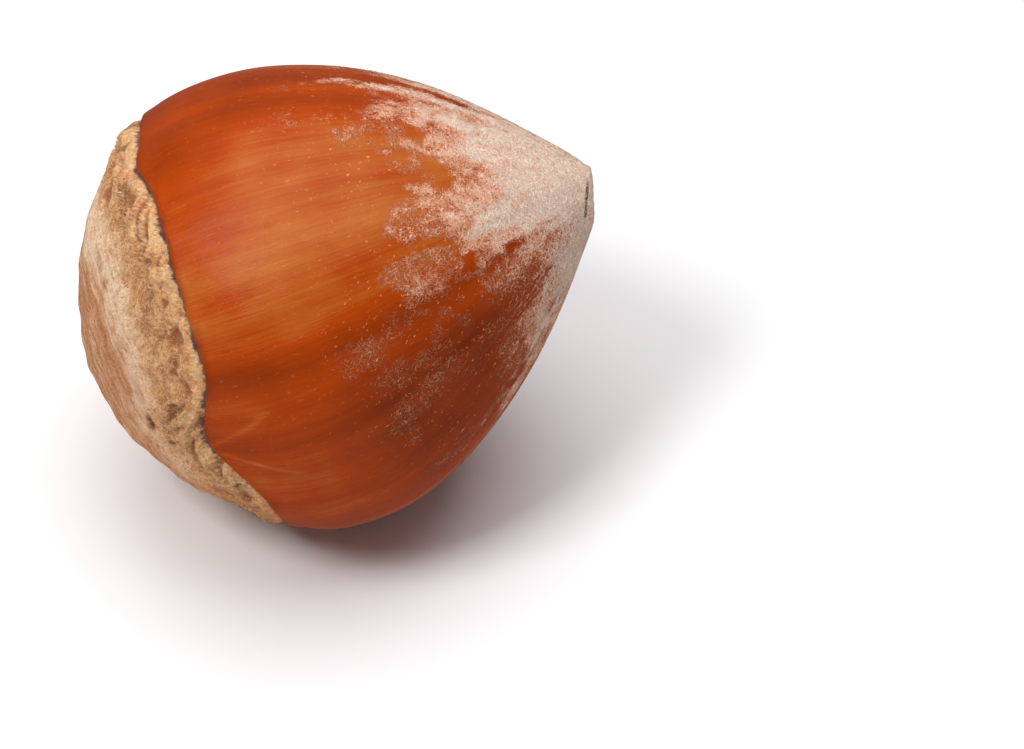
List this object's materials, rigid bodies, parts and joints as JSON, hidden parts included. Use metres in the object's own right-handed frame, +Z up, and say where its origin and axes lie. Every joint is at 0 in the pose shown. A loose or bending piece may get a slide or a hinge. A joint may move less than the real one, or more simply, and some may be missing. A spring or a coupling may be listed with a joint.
{
  "type": "hazelnut",
  "caption": "Whole hazelnut in its shell, lying on its side: round body with a rough base scar and a blunt pointed tip.",
  "frame": {"origin": "under the middle of the nut's box, on the surface that it rests on", "axes": "+X along the nut towards its raised tip, +Z up, -Y towards the viewer"},
  "size_m": [0.0208, 0.0186, 0.0181],
  "materials": {
    "shell": "satin"
  },
  "bodies": {
    "root": {"nut": "shell"}
  },
  "joints": []
}
